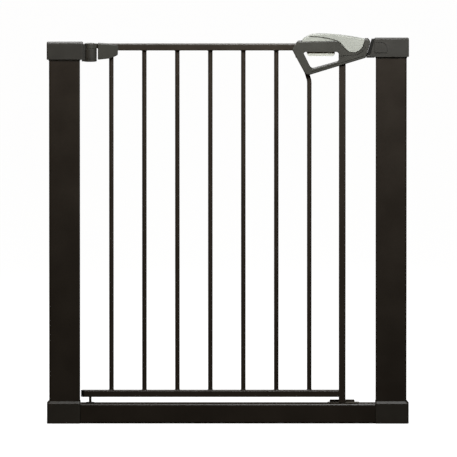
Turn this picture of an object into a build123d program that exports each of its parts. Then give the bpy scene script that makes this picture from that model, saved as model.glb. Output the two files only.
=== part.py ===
from build123d import *
import os
from math import atan2, ceil, cos, degrees, radians, sin, sqrt

# A pressure-fit safety gate: a U-shaped frame of two posts and a base rail, and a barred gate that
# hangs in it on a lift-and-swing hinge. Millimetres, +Z up, +X to the right seen from the front,
# +Y away from the front. The origin is under the middle of the frame, on the floor.

# ---- driving dimensions ----
overall_width = 705.6        # across the two feet
overall_height = 762.0       # floor to the top of the thumb lever
bar_pitch_max = 65.0         # largest spacing of the bars that a child's head can't pass
# frame
post_width = 60.2
post_depth = 26.0
post_wall = 1.2
post_corner = 4.0
post_inset = 4.4             # how far a foot or cap stands out past its post
base_height = 39.0
base_depth = post_depth + 8.0
base_wall = 1.5
base_corner = 4.0
foot_depth = base_depth + 1.0
foot_lap = 0.8               # how far a foot's side stands in from its post's inner face
foot_collar = 4.5            # height of the sloped collar above the base rail
collar_slope_x = 3.6
collar_slope_y = 3.0         # how much narrower the collar's top is, each side
foot_seat = 6.0              # how deep a post stands below the top of the base rail
spigot_length = 32.0
cap_depth = post_depth + 8.0
left_cap_height = 33.0
right_cap_height = 35.0
cap_seat = 6.0               # how deep a post reaches into its cap
cap_round = 2.5
neck_height = 2.5
neck_proud = 0.8
groove_width = 1.1           # shadow groove round the latch cap's raised pad
groove_depth = 0.9
fit = 0.1                    # clearance of a plugged or nested fit, each side
running = 0.05               # radial clearance of a running fit
slide_gap = 0.3              # clearance between parts that slide past each other
# gate panel
rail_height = 12.5
rail_depth = 20.0
rail_wall = 1.2
rail_corner = 1.5
bottom_gap = 12.6            # gap between the base rail and the gate's bottom rail
nose_gap = 1.8               # between the bottom rail's round nose and the post
nose_inset = 3.6             # the nose's centre from the rail's end
bar_radius = 4.4
bar_wall = 1.0
stile_width = 13.0
stile_wall = 1.2
plug_length = 25.0           # of the plugs in the stile's and the bottom rail's ends
lift_travel = 13.0
# hinge
hinge_offset = 19.7          # hinge axis from the post's inner face
first_bar_offset = 41.5      # first bar from the hinge axis
barrel_radius = 13.2
barrel_chamfer = 0.6
barrel_height = 25.2
sleeve_radius = 7.5
pin_radius = 4.0
pin_flat = 3.2               # half the distance across the pin's flats
knuckle_radius = 10.4
knuckle_height = 9.6
knuckle_gap = 0.5            # between the turning knuckle and the cap's web beside it
web_half_depth = 6.5
neck_half_depth = 9.0        # half the depth of the neck between the barrel and the cap
groove_rises = [4.2, 6.6]    # the two rings round the barrel, above its lower end
lower_pin_radius = 2.5
bush_radius = 7.0
bush_depth = 26.0
# handle, from the latch stile's centre line and the top rail's centre line
handle_depth = rail_depth + 10.0
shell_wall = 2.4
lever_outer = handle_depth / 2 - 0.4    # half the width of the lever's visible sides
lever_inner = lever_outer - 2.4         # half the width of its recessed lower flank
lever_wall = 2.4
lever_travel_deg = 2.0
pivot_x = 21.5
pivot_z = 10.4
pivot_reach = 20.6           # radius of the round seat that the lever turns in
seat_start = 218.0           # where that seat starts and ends round the pivot, in degrees
seat_end = 352.0
pivot_pin_radius = 2.5
seat_gap = 0.4               # shadow gap round the lever's seat
edge_break = 0.3             # broken outer edges of the lever
small_round = 0.45
rise_gap = 1.8               # and where it dips towards the shell as it rocks
tab_half_depth = handle_depth / 2 - 4.0
flange_half_depth = tab_half_depth + 1.2
trigger_travel = 5.0
bolt_travel = 8.0
bolt_height = 6.0
bolt_half_depth = 5.2
bolt_level = -15.0
cam_pin_radius = 1.5
blade_half = 2.4
# catch on the base rail
catch_plate = 1.0
catch_half_depth = 15.0
rear_lip = 4.2
front_lip = 0.6
lip_thickness = 1.5
sole_thickness = 0.8
sole_gap = 0.4               # between the stile's sole and the catch's plate
# latch side
stile_inset = 65.2           # latch stile's centre from the right post's inner face
slot_gap = 6.8               # gap between the handle's end and the right cap
spindle_radius = 5.25
guide_radius = 7.0
guide_length = 40.0
guide_flange_radius = 9.5
guide_flange = 1.5
spindle_low = 22.0
screw_head = 3.4
screw_shank = 1.8
screw_length = 10.0
screw_cone = 2.0
tiny = 0.05

# ---- places worked out from them ----
half_width = overall_width / 2
post_outer = half_width - post_inset
post_inner = post_outer - post_width
post_mid = post_outer - post_width / 2
foot_inner = post_inner - foot_lap
rail_z = overall_height - 25.5
bottom_rail_z = base_height + bottom_gap + rail_height / 2
hinge_x = -post_inner + hinge_offset
first_bar_x = hinge_x + first_bar_offset
stile_x = post_inner - stile_inset
bay_count = ceil((stile_x - first_bar_x) / bar_pitch_max)
bar_pitch = (stile_x - first_bar_x) / bay_count
left_cap_top = rail_z + 9.2
left_cap_bottom = left_cap_top - left_cap_height
right_cap_top = rail_z + 16.8
right_cap_bottom = right_cap_top - right_cap_height
post_foot_z = base_height - foot_seat
left_post_top = left_cap_bottom + cap_seat
right_post_top = right_cap_bottom + cap_seat
spindle_high = rail_z - 4.5
barrel_top = rail_z - 3.0
barrel_bottom = barrel_top - barrel_height
knuckle_bottom = barrel_top + 0.6
knuckle_top = knuckle_bottom + knuckle_height
web_top = knuckle_top - 1.5
sleeve_bottom = barrel_bottom + 2.9
hinge_cap_inner = post_inner - 6.1
stile_top_z = rail_z - 24.0
stile_bottom_z = base_height + catch_plate + sole_gap + sole_thickness


# ---- small tools ----
def slab(face, y_from, y_to):
    """A face drawn in X and Z, made solid between two depths."""
    plane = Plane(origin=(0, y_to, 0), x_dir=(1, 0, 0), z_dir=(0, -1, 0))
    return extrude(plane * face, amount=y_to - y_from)


def outline(points, radii):
    """A closed outline with its own corner radius at each point."""
    return make_face(FilletPolyline(*points, radius=radii, close=True))


def block(x0, x1, y0, y1, z0, z1):
    centre = Pos((x0 + x1) / 2, (y0 + y1) / 2, (z0 + z1) / 2)
    return centre * Box(x1 - x0, y1 - y0, z1 - z0)


def rod_z(x, y, z0, z1, radius):
    return Pos(x, y, (z0 + z1) / 2) * Cylinder(radius, z1 - z0)


def rod_y(x, z, y0, y1, radius):
    return Pos(x, (y0 + y1) / 2, z) * Rot(90, 0, 0) * Cylinder(radius, y1 - y0)


def rod_x(x0, x1, y, z, radius):
    return Pos((x0 + x1) / 2, y, z) * Rot(0, 90, 0) * Cylinder(radius, x1 - x0)


def at_handle(points):
    """Points given from the stile's centre line and the top rail's centre line."""
    return [(stile_x + x, rail_z + z) for x, z in points]


def screw(extra=0.0):
    """A countersunk self-tapping screw, head up at Z = 0; extra widens it into its own hole."""
    head = Pos(0, 0, -screw_cone / 2) * Cone(screw_shank + extra, screw_head + extra, screw_cone)
    shank = rod_z(0, 0, -screw_length - extra, -screw_cone + tiny, screw_shank + extra)
    return head + shank


def placed(shape, origin, direction):
    """A shape with its own +Z turned to a direction and its origin moved to a point."""
    return Plane(origin=origin, z_dir=direction).location * shape


def group(shapes):
    return Compound(children=list(shapes))


def mirrored_x(shape):
    return mirror(shape, about=Plane.YZ)


# ---- frame ----
screw_spots = {
    "left_top": ((-post_mid, post_depth / 2, left_cap_bottom - 16), (0, 1, 0)),
    "right_top": ((post_mid, post_depth / 2, right_cap_bottom - 16), (0, 1, 0)),
    "left_low": ((-post_mid, post_depth / 2, base_height + foot_collar + 12), (0, 1, 0)),
    "right_low": ((post_mid, post_depth / 2, base_height + foot_collar + 12), (0, 1, 0)),
}
rail_screw_x = post_inner - 8.0
rail_screw_spots = [((side * rail_screw_x, base_depth / 2, base_height / 2), (0, 1, 0)) for side in (-1, 1)]
frame_screw_spots = list(screw_spots.values()) + rail_screw_spots


def screw_holes(shape, spots):
    for origin, direction in spots:
        shape -= placed(screw(tiny), origin, direction)
    return shape


def post(side, top):
    outer = RectangleRounded(post_width, post_depth, post_corner)
    bore = RectangleRounded(post_width - 2 * post_wall, post_depth - 2 * post_wall, post_corner - post_wall)
    tube = extrude(outer - bore, amount=top - post_foot_z)
    return screw_holes(Pos(side * post_mid, 0, post_foot_z) * tube, screw_spots.values())


def post_socket(side, z0, z1):
    """The room a post's end takes in a foot or cap."""
    room = RectangleRounded(post_width + 2 * fit, post_depth + 2 * fit, post_corner + fit)
    return Pos(side * post_mid, 0, z0) * extrude(room, amount=z1 - z0)


def post_spigot(side, z0, z1):
    """The plug that a foot or cap pushes into a post's end."""
    slack = 2 * (post_wall + fit)
    plug = RectangleRounded(post_width - slack, post_depth - slack, post_corner - post_wall - fit)
    return Pos(side * post_mid, 0, z0) * extrude(plug, amount=z1 - z0)


def guide_room(side, z):
    """The stepped hole that a spindle guide is pressed into, with the spindle's clear way past it."""
    outer = side * half_width
    step = outer - side * guide_flange
    end = outer - side * (guide_length + fit)
    low, high = sorted((outer + side, step))
    flange = rod_x(low, high, 0, z, guide_flange_radius + fit)
    low, high = sorted((outer, end))
    return flange + rod_x(low, high, 0, z, guide_radius + fit)


def foot(side):
    """A corner shoe: it holds the post's lower end, and a spigot on its inner side holds the base rail."""
    shoe_width = half_width - foot_inner
    shoe_mid = foot_inner + shoe_width / 2
    lower = RectangleRounded(shoe_width, foot_depth, base_corner)
    upper = RectangleRounded(shoe_width - collar_slope_x, foot_depth - 2 * collar_slope_y, base_corner)
    body = Pos(shoe_mid, 0, 0) * extrude(lower, amount=base_height)
    body = chamfer(body.edges().group_by(Axis.Z)[0], barrel_chamfer)
    collar_foot = Pos(shoe_mid, 0, base_height) * lower
    collar_head = Pos(shoe_mid - collar_slope_x / 2, 0, base_height + foot_collar) * upper
    body += loft([collar_foot, collar_head])
    slack = 2 * (base_wall + fit)
    plug_face = RectangleRounded(base_height - slack, base_depth - slack, base_corner - base_wall - fit)
    plug_plane = Plane(origin=(foot_inner, 0, base_height / 2), x_dir=(0, 0, 1), z_dir=(-1, 0, 0))
    body += extrude(plug_plane * plug_face, amount=spigot_length)
    if side < 0:
        body = mirrored_x(body)
    body -= post_socket(side, post_foot_z, base_height + foot_collar + 1)
    body += post_spigot(side, post_foot_z - 1, base_height + foot_collar + spigot_length)
    body -= guide_room(side, spindle_low)
    if side < 0:
        body -= lower_bush_room()
    return screw_holes(body, frame_screw_spots)


def base_rail():
    """The rectangular tube on the floor, open at both ends over the feet's spigots."""
    start = Plane(origin=(-foot_inner, 0, base_height / 2), x_dir=(0, 0, 1), z_dir=(1, 0, 0))
    outer = RectangleRounded(base_height, base_depth, base_corner)
    bore = RectangleRounded(base_height - 2 * base_wall, base_depth - 2 * base_wall, base_corner - base_wall)
    tube = extrude(start * (outer - bore), amount=2 * foot_inner)
    tube -= lower_bush_room()
    tube -= catch_cup_room()
    tube = screw_holes(tube, catch_screw_spots)
    return screw_holes(tube, rail_screw_spots)


def cap_body(x_in, x_out, z0, z1):
    """A moulded post cap's rounded block."""
    body = block(x_in, x_out, -cap_depth / 2, cap_depth / 2, z0, z1)
    body = fillet(body.edges().filter_by(Axis.Z) + body.edges().group_by(Axis.Z)[-1], cap_round)
    body = chamfer(body.edges().group_by(Axis.Z)[0], 0.8)
    return body


def cap_fittings(body, side, z0, post_top):
    """Adds the neck round the post, its socket, the spigot down inside it and the spindle guide's hole."""
    neck = RectangleRounded(post_width + 2 * neck_proud, post_depth + 2 * neck_proud, post_corner)
    body += Pos(side * post_mid, 0, z0 - neck_height) * extrude(neck, amount=neck_height + 1)
    body -= post_socket(side, z0 - neck_height - 1, post_top + fit)
    body += post_spigot(side, z0 - neck_height - spigot_length, post_top + 1)
    body -= guide_room(side, spindle_high)
    return screw_holes(body, screw_spots.values())


def hinge_cap():
    """The left post's cap, with the barrel that the gate's upper hinge turns in."""
    inner = -hinge_cap_inner
    root = inner - cap_round
    body = cap_body(-half_width, inner, left_cap_bottom, left_cap_top)
    neck_low = barrel_bottom + barrel_chamfer
    body += block(root, hinge_x, -neck_half_depth, neck_half_depth, neck_low, barrel_top)
    barrel = rod_z(hinge_x, 0, barrel_bottom, barrel_top, barrel_radius)
    barrel = chamfer(barrel.edges().filter_by(GeomType.CIRCLE), barrel_chamfer)
    for rise in groove_rises:
        z = barrel_bottom + rise
        groove = rod_z(hinge_x, 0, z, z + groove_depth, barrel_radius + fit)
        groove -= rod_z(hinge_x, 0, z, z + groove_depth, barrel_radius - groove_depth / 2)
        barrel -= groove - block(root, hinge_x, -neck_half_depth, neck_half_depth, z, z + groove_depth)
    body += barrel
    web = block(root, hinge_x, -web_half_depth, web_half_depth, barrel_top - barrel_chamfer, web_top)
    body += web - rod_z(hinge_x, 0, barrel_top, knuckle_top, knuckle_radius + knuckle_gap)
    body = cap_fittings(body, -1, left_cap_bottom, left_post_top)
    body -= rod_z(hinge_x, 0, sleeve_bottom - slide_gap, knuckle_top, sleeve_radius + running)
    return body - rod_z(hinge_x, 0, 0, barrel_top, pin_radius + 2 * slide_gap)


handle_end = [(54.6, 10.4), (46.0, -19.9)]     # the handle's sloped right end, top and bottom


def end_slope_x(z):
    """The handle's sloped end at a height above the top rail's centre line."""
    (x1, z1), (x0, z0) = handle_end
    return x0 + (z - z0) * (x1 - x0) / (z1 - z0)


def sloped_strip(z0, z1, left_gap, right_gap, y_half):
    """A strip that runs along the handle's sloped end, between two distances from it."""
    points = [
        (end_slope_x(z0) + left_gap, z0),
        (end_slope_x(z0) + right_gap, z0),
        (end_slope_x(z1) + right_gap, z1),
        (end_slope_x(z1) + left_gap, z1),
    ]
    return slab(make_face(Polyline(*at_handle(points), close=True)), -y_half, y_half)


keeper_low = bolt_level - bolt_height / 2 - 2.4
keeper_high = bolt_level + bolt_height / 2 + lift_travel + 3.6
keeper_depth = 10.0
keeper_half = 9.0
ledge = 3.0                  # ledge of the cap under the slot
ledge_gap = 1.2
badge_left, badge_right = 62.6, 87.0    # the cap's raised pad, from the stile and the top rail
badge_low, badge_high = -10.0, 9.6
badge_proud = 0.5


def latch_cap():
    """The right post's cap: its inner end slopes like the handle's, over a ledge, round the keeper."""
    low = right_cap_bottom - rail_z
    high = right_cap_top - rail_z
    right = half_width - stile_x
    face = outline(
        at_handle([
            (end_slope_x(low) + ledge_gap, low),
            (right, low),
            (right, high),
            (end_slope_x(high) + slot_gap, high),
            (end_slope_x(low + ledge) + slot_gap, low + ledge),
            (end_slope_x(low + ledge) + ledge_gap, low + ledge),
        ]),
        [0.5, 2.0, 3.0, 2.0, 0.5, 0.5],
    )
    body = slab(face, -cap_depth / 2, cap_depth / 2)
    body = fillet(body.edges().group_by(Axis.Y)[0] + body.edges().group_by(Axis.Y)[-1], small_round)
    badge = outline(
        [
            (stile_x + badge_left, rail_z + badge_low),
            (stile_x + badge_right, rail_z + badge_low),
            (stile_x + badge_right, rail_z + badge_high),
            (stile_x + badge_left, rail_z + badge_high),
        ],
        [1.0, 2.0, 13.0, 1.0],
    )
    core = cap_depth / 2 - groove_depth
    proud = cap_depth / 2 + badge_proud
    groove = slab(offset(badge, groove_width) - badge, -proud, proud)
    body -= groove - slab(offset(badge, 2 * groove_width), -core, core)
    pad = slab(badge, -proud, proud)
    body += chamfer(pad.edges().group_by(Axis.Y)[0] + pad.edges().group_by(Axis.Y)[-1], edge_break)
    body = cap_fittings(body, 1, right_cap_bottom, right_post_top)
    room_end = slot_gap + keeper_depth + fit
    return body - sloped_strip(keeper_low - fit, keeper_high + fit, 0, room_end, keeper_half + fit)


def keeper():
    """The black striker set in the cap, with the tall pocket that the latch bolt drops in."""
    body = sloped_strip(keeper_low, keeper_high, 0.9, slot_gap + keeper_depth, keeper_half)
    pocket = sloped_strip(
        bolt_level - bolt_height / 2 - 0.6,
        bolt_level + bolt_height / 2 + lift_travel + 0.8,
        0,
        slot_gap + keeper_depth - 2.0,
        bolt_half_depth + 0.6,
    )
    return body - pocket


def strike_strip():
    """The dark rubber strip that fills the top of the slot behind the handle's end."""
    high = right_cap_top - rail_z - ledge_gap
    return sloped_strip(keeper_high + fit, high, 1.0, slot_gap - fit, keeper_half)


def lower_bush_room():
    return rod_z(hinge_x, 0, base_height - bush_depth - fit, base_height + 1, bush_radius + fit)


def lower_hinge_bush():
    """A flanged nylon bush in the base rail; the lower pin turns and lifts in it."""
    body = rod_z(hinge_x, 0, base_height - bush_depth, base_height, bush_radius)
    flange = rod_z(hinge_x, 0, base_height, base_height + 1.5, bush_radius + 2)
    body += chamfer(flange.edges().group_by(Axis.Z)[-1], 0.5)
    return body - rod_z(hinge_x, 0, base_height - bush_depth + 2, base_height + 2, lower_pin_radius + running)


catch_length = 62.0
tray_length = 48.7
cup_radius = 8.0
cup_depth = 12.0
foot_pin_radius = 4.0
foot_pin_length = 7.0
catch_screw_spots = [
    ((stile_x + 2.3 + side * (catch_length / 2 - 4.0), 0, base_height + catch_plate), (0, 0, 1))
    for side in (-1, 1)
]


def catch_cup_room():
    return rod_z(stile_x, 0, base_height - cup_depth - fit, base_height + 4, cup_radius + fit)


def base_catch():
    """The steel catch on the base rail: a stop lip behind the latch stile and a low lip before it."""
    top = base_height + catch_plate
    x0 = stile_x + 2.3 - catch_length / 2
    body = block(x0, x0 + catch_length, -catch_half_depth, catch_half_depth, base_height, top)
    body = fillet(body.edges().filter_by(Axis.Z), base_corner)
    lip_x0 = stile_x - tray_length / 2
    lip_x1 = stile_x + tray_length / 2
    lip_y = catch_half_depth - lip_thickness
    rear = block(lip_x0, lip_x1, lip_y, catch_half_depth, base_height, top + rear_lip)
    rear = chamfer(rear.edges().filter_by(Axis.Y).group_by(Axis.Z)[-1], lip_thickness)
    front = block(lip_x0, lip_x1, -catch_half_depth, -lip_y, base_height, top + front_lip)
    return screw_holes(body + rear + front - catch_cup_room(), catch_screw_spots)


def catch_cup():
    """A nylon cup in the catch that the stile's foot pin drops in."""
    body = rod_z(stile_x, 0, base_height - cup_depth, base_height + catch_plate, cup_radius)
    slot = SlotOverall(2 * foot_pin_radius + 5.0, 2 * foot_pin_radius + 1.2)
    depth = cup_depth + catch_plate - 1.5
    return body - Pos(stile_x, 0, base_height - cup_depth + 1.5) * extrude(slot, amount=depth + 1)


def spindle_guide(side, z):
    """A flanged guide for the threaded spindle that presses the frame to the wall."""
    outer = side * half_width
    low, high = sorted((outer, outer - side * guide_length))
    body = rod_x(low, high, 0, z, guide_radius)
    low, high = sorted((outer, outer - side * guide_flange))
    body += rod_x(low, high, 0, z, guide_flange_radius)
    return body - rod_x(-half_width - 1, half_width + 1, 0, z, spindle_radius)


# ---- hinge ----
def hinge_sleeve():
    """The nylon sleeve that turns in the barrel; its flat-sided bore lets the hinge pin lift."""
    body = rod_z(hinge_x, 0, sleeve_bottom, barrel_top + slide_gap, sleeve_radius)
    return body - flat_pin(barrel_bottom, knuckle_top, running)


def flat_pin(z0, z1, extra=0.0):
    body = rod_z(hinge_x, 0, z0, z1, pin_radius + extra)
    half = pin_flat + extra
    return body & block(hinge_x - half, hinge_x + half, -10, 10, z0, z1)


def upper_hinge_pin():
    """Steel pin with two flats: round head held in the knuckle, flats down through the sleeve."""
    top = knuckle_top - pin_cover
    body = flat_pin(barrel_bottom + 4.0, top)
    return body + rod_z(hinge_x, 0, knuckle_bottom + pin_head_step, top, pin_radius + pin_head)


bracket_left = 15.3          # the bracket's inner side from the hinge axis
bracket_half_depth = rail_depth / 2 + 2.0
arm_half_depth = 7.0
arm_step = 0.8               # the arm's top below the knuckle's
pin_head = 1.5               # how much wider the pin's head is than the pin
pin_head_step = 3.0
pin_cover = 2.0
bracket_screw_spots = [
    ((hinge_x + 22.0, bracket_half_depth, rail_z - 14.0), (0, 1, 0)),
    ((hinge_x + 50.0, bracket_half_depth, rail_z - 9.5), (0, 1, 0)),
]


def hinge_bracket_whole():
    """The moulded bracket that clamps the top rail's end and reaches over to the hinge barrel."""
    left = hinge_x + bracket_left
    right = hinge_x + 54.2
    face = outline(
        [
            (left, rail_z + 7.4),
            (left, rail_z - 24.2),
            (left + 25.0, rail_z - 21.5),
            (right, rail_z - 15.0),
            (right + 0.6, rail_z + 4.6),
        ],
        [2.0, 2.0, 8.0, 3.0, 2.0],
    )
    body = slab(face, -bracket_half_depth, bracket_half_depth)
    body = fillet(body.edges().group_by(Axis.Y)[0] + body.edges().group_by(Axis.Y)[-1], 1.2)
    arm = block(hinge_x, left + 4.0, -arm_half_depth, arm_half_depth, knuckle_bottom, knuckle_top - arm_step)
    knuckle = rod_z(hinge_x, 0, knuckle_bottom, knuckle_top, knuckle_radius)
    knuckle = fillet(knuckle.edges().filter_by(GeomType.CIRCLE).group_by(Axis.Z)[-1], 1.2)
    body += arm + knuckle
    body -= flat_pin(knuckle_bottom - 1, knuckle_top, fit)
    head_low = knuckle_bottom + pin_head_step - fit
    body -= rod_z(hinge_x, 0, head_low, knuckle_top - pin_cover + fit, pin_radius + pin_head + fit)
    body -= rail_room(left + 3.0, right + 5.0)
    body -= rod_z(first_bar_x, 0, rail_z - 40, rail_z - rail_height / 2 + 1, bar_radius + fit)
    return screw_holes(body, bracket_screw_spots)


def rail_room(x0, x1):
    """The room that the top rail takes in what clamps it."""
    half_depth = rail_depth / 2 + fit
    half_height = rail_height / 2 + fit
    return block(x0, x1, -half_depth, half_depth, rail_z - half_height, rail_z + half_height)


def half_of(shape, side):
    """The front (-1) or rear (+1) half of a shell that is split down its middle."""
    size = 2000
    low, high = (-size, -tiny / 2) if side < 0 else (tiny / 2, size)
    return shape & block(-size, size, low, high, -size, size)


# ---- gate panel ----
top_rail_start = hinge_x + bracket_left + 3.4
top_rail_end = stile_x - 82.0
bottom_rail_start = -post_inner + nose_gap + rail_depth / 2 - nose_inset
bottom_rail_end = stile_x - stile_width / 2


def rail(x0, x1, z):
    plane = Plane(origin=(x0, 0, z), x_dir=(0, 1, 0), z_dir=(1, 0, 0))
    outer = RectangleRounded(rail_depth, rail_height, rail_corner)
    bore = RectangleRounded(rail_depth - 2 * rail_wall, rail_height - 2 * rail_wall, rail_corner / 3)
    return extrude(plane * (outer - bore), amount=x1 - x0)


def bottom_rail():
    return rail(bottom_rail_start, bottom_rail_end, bottom_rail_z) - rod_z(
        hinge_x, 0, bottom_rail_z - rail_height, bottom_rail_z, lower_pin_radius + fit
    )


def straight_bar(x):
    z0 = bottom_rail_z + rail_height / 2
    z1 = rail_z - rail_height / 2
    return rod_z(x, 0, z0, z1, bar_radius) - rod_z(x, 0, z0, z1, bar_radius - bar_wall)


bent_bar_x = stile_x - bar_pitch
socket_x = stile_x - 70.5    # where the bent bar enters the handle's lower corner
socket_z = rail_z - 45.6
bend_z = rail_z - 66.0


def bent_bar():
    """The last bar leans over at its top, into the handle's lower corner."""
    z0 = bottom_rail_z + rail_height / 2
    ends = [(bent_bar_x, 0, z0), (bent_bar_x, 0, bend_z), (socket_x, 0, socket_z)]
    path = FilletPolyline(*ends, radius=28.0)
    ring = Circle(bar_radius) - Circle(bar_radius - bar_wall)
    return sweep(Plane(origin=(bent_bar_x, 0, z0), z_dir=(0, 0, 1)) * ring, path=path)


def bent_bar_room():
    lean = (socket_x - bent_bar_x, 0, socket_z - bend_z)
    start = Plane(origin=(bent_bar_x, 0, bend_z), z_dir=lean)
    length = sqrt(lean[0] ** 2 + lean[2] ** 2) + fit
    return extrude(start * Circle(bar_radius + fit), amount=length)


def latch_stile():
    plane = Plane(origin=(stile_x, 0, stile_bottom_z), z_dir=(0, 0, 1))
    outer = RectangleRounded(stile_width, rail_depth, rail_corner)
    bore = RectangleRounded(stile_width - 2 * stile_wall, rail_depth - 2 * stile_wall, rail_corner / 3)
    return extrude(plane * (outer - bore), amount=stile_top_z - stile_bottom_z)


def stile_foot():
    """Nylon plug in the stile's lower end, with the pin that drops in the catch's cup."""
    slack = 2 * (stile_wall + fit)
    plug_face = RectangleRounded(stile_width - slack, rail_depth - slack, rail_corner / 3)
    plug = extrude(plug_face, amount=plug_length)
    sole = extrude(RectangleRounded(stile_width - 1.0, rail_depth - 1.0, 1.0), amount=-sole_thickness)
    pin = rod_z(0, 0, -foot_pin_length, -sole_thickness + tiny, foot_pin_radius)
    pin = chamfer(pin.edges().filter_by(GeomType.CIRCLE).group_by(Axis.Z)[0], 1.2)
    return Pos(stile_x, 0, stile_bottom_z) * (plug + sole + pin)


def rail_end_plug():
    """The round-nosed plug in the bottom rail's hinge end; it grips the lower hinge pin."""
    nose_x = bottom_rail_start + nose_inset
    slack = 2 * (rail_wall + fit)
    nose = rod_z(nose_x, 0, bottom_rail_z - rail_height / 2, bottom_rail_z + rail_height / 2, rail_depth / 2)
    nose &= block(nose_x - 20, bottom_rail_start, -20, 20, 0, overall_height)
    plane = Plane(origin=(bottom_rail_start, 0, bottom_rail_z), x_dir=(0, 1, 0), z_dir=(1, 0, 0))
    plug_face = RectangleRounded(rail_depth - slack, rail_height - slack, rail_corner / 3)
    plug = extrude(plane * plug_face, amount=plug_length)
    return nose + plug - lower_pin(tiny)


def lower_pin(extra=0.0):
    z0 = base_height - bush_depth + 4.0
    return rod_z(hinge_x, 0, z0, bottom_rail_z + 3.0 + extra, lower_pin_radius + extra)


# ---- handle ----
handle_outline = [
    (-85.8, 11.5), (-14.6, 13.3), (44.4, 16.2), (50.2, 16.2), (54.6, 10.4), (46.0, -19.9),
    (43.9, -22.2), (-70.0, -56.9), (-97.3, -5.5), (-97.3, -1.5),
]
handle_radii = [3.0, 0, 0, 3.0, 2.0, 2.0, 2.0, 10.0, 3.0, 3.0]
finger_hole = [(-77.8, -9.9), (-7.2, -9.9), (-7.2, -28.6), (-60.7, -44.7)]
finger_radii = [4.0, 4.5, 3.0, 7.0]
rib_near = 6.5               # ribs inside the shells, from the middle: near and far sides
rib_far = 9.4
rib_round = 5.0              # and the round posts' radius at the lever's pivot
handle_screw_places = [(-88.0, -20.0), (-71.5, -47.5), (-27.0, -37.5), (35.0, -20.0)]


def seat_arc(reach, start, end):
    """Three places on the lever's round seat: where it starts, its middle, and where it ends."""
    angles = [radians(start), radians((start + end) / 2), radians(end)]
    return [(pivot_x + reach * cos(a), pivot_z + reach * sin(a)) for a in angles]


def window_edge(gap, foot_of_rise, end):
    """The window's lower edge: an S-curve down from the grip, then the round seat about the pivot."""
    seat = seat_arc(pivot_reach - gap, seat_start, end)
    top, bottom = at_handle([foot_of_rise, seat[0]])
    leave = radians(seat_start)
    rise = Spline(top, bottom, tangents=[(1.0, -0.12), (-sin(leave), cos(leave))])
    return [rise, ThreePointArc(*at_handle(seat))], seat[2]


def lever_window():
    """The opening in the shells that the thumb lever fills."""
    foot_of_rise = handle_outline[1]
    rim = handle_outline[2]
    edges, last = window_edge(0, foot_of_rise, seat_end)
    above = [last, rim, (rim[0], 40.0), (foot_of_rise[0], 40.0), foot_of_rise]
    return make_face(Curve() + edges + [Polyline(*at_handle(above))])


def handle_whole():
    """Both handle shells as one: the loop with its finger hole, the sockets and the mechanism's room."""
    half = handle_depth / 2
    body = slab(outline(at_handle(handle_outline), handle_radii), -half, half)
    body -= slab(outline(at_handle(finger_hole), finger_radii), -half, half)
    rim = body.edges().group_by(Axis.Y)
    body = fillet(rim[0] + rim[-1], 1.6)
    body -= slab(lever_window(), -half, half)
    hollow = half - shell_wall
    grip_room = [(-80.4, 20.0), (-80.4, -4.8), (-73.0, -7.5), (-4.8, -7.5), (-4.8, 20.0)]
    body -= slab(make_face(Polyline(*at_handle(grip_room), close=True)), -hollow, hollow)
    block_room = [
        (-4.9, 20.0), (-4.9, -31.0), (6.0, -30.2), (40.0, -18.9), (42.0, -18.9), (42.0, 20.0),
    ]
    body -= slab(make_face(Polyline(*at_handle(block_room), close=True)), -hollow, hollow)
    return body


def handle_insides():
    """Ribs that stand inside the shells: the bolt's guides, the lever's pivot posts and spring ledge."""
    hollow = handle_depth / 2 - shell_wall + 0.2
    parts = []
    for side in (-1, 1):
        near, far = sorted((side * rib_near, side * hollow))
        low, high = sorted((side * rib_near, side * rib_far))
        seat_low = rail_z + pivot_z - pivot_reach - seat_gap
        parts.append(block(stile_x + 13, stile_x + 30, near, far, rail_z - 30, seat_low))
        left = stile_x + pivot_x - rib_round
        parts.append(block(left, left + 2 * rib_round, low, high, rail_z - 12, rail_z + pivot_z + rib_round))
    ledge = block(stile_x - 47, stile_x - 37, -hollow, hollow, rail_z + 1.6, rail_z + 3.4)
    floor_top = rail_z + bolt_level - bolt_height / 2 - slide_gap
    bolt_floor = block(stile_x + 15, stile_x + 40, -7, 7, rail_z - 29, floor_top)
    seat = block(stile_x - 14, stile_x + 12, -hollow, hollow, rail_z - 36, rail_z - 23.7)
    return parts + [ledge, bolt_floor, seat]


def handle_body():
    body = handle_whole()
    inside = slab(outline(at_handle(handle_outline), handle_radii), -handle_depth / 2, handle_depth / 2)
    inside = inside & slab(inside_limit(), -handle_depth / 2, handle_depth / 2)
    for rib in handle_insides():
        body += rib & inside
    body += rod_y(stile_x + pivot_x, rail_z + pivot_z, -rib_far, -rib_near, rib_round)
    body += rod_y(stile_x + pivot_x, rail_z + pivot_z, rib_near, rib_far, rib_round)
    body -= rod_y(stile_x + pivot_x, rail_z + pivot_z, -20, 20, pivot_pin_radius + tiny)
    body -= rail_room(stile_x - 110, top_rail_end + fit)
    body -= bent_bar_room()
    body -= block(
        stile_x - stile_width / 2 - fit, stile_x + stile_width / 2 + fit,
        -rail_depth / 2 - fit, rail_depth / 2 + fit, rail_z - 60, stile_top_z + fit,
    )
    body -= block(
        stile_x - 69.6, stile_x - 14.2, -tab_half_depth - slide_gap, tab_half_depth + slide_gap,
        rail_z - 12, rail_z - 6,
    )
    bolt_low = rail_z + bolt_level - bolt_height / 2 - slide_gap
    bolt_high = rail_z + bolt_level + bolt_height / 2 + slide_gap
    room_half = bolt_half_depth + slide_gap
    body -= block(stile_x - 4.8, stile_x + 60, -room_half, room_half, bolt_low, bolt_high)
    return screw_holes(body, handle_screw_spots)


def inside_limit():
    """The outline less the finger hole, so that a rib never stands in the fingers' way."""
    return outline(at_handle(handle_outline), handle_radii) - outline(at_handle(finger_hole), finger_radii)


handle_screw_spots = [((x, handle_depth / 2, z), (0, 1, 0)) for x, z in at_handle(handle_screw_places)]


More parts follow.
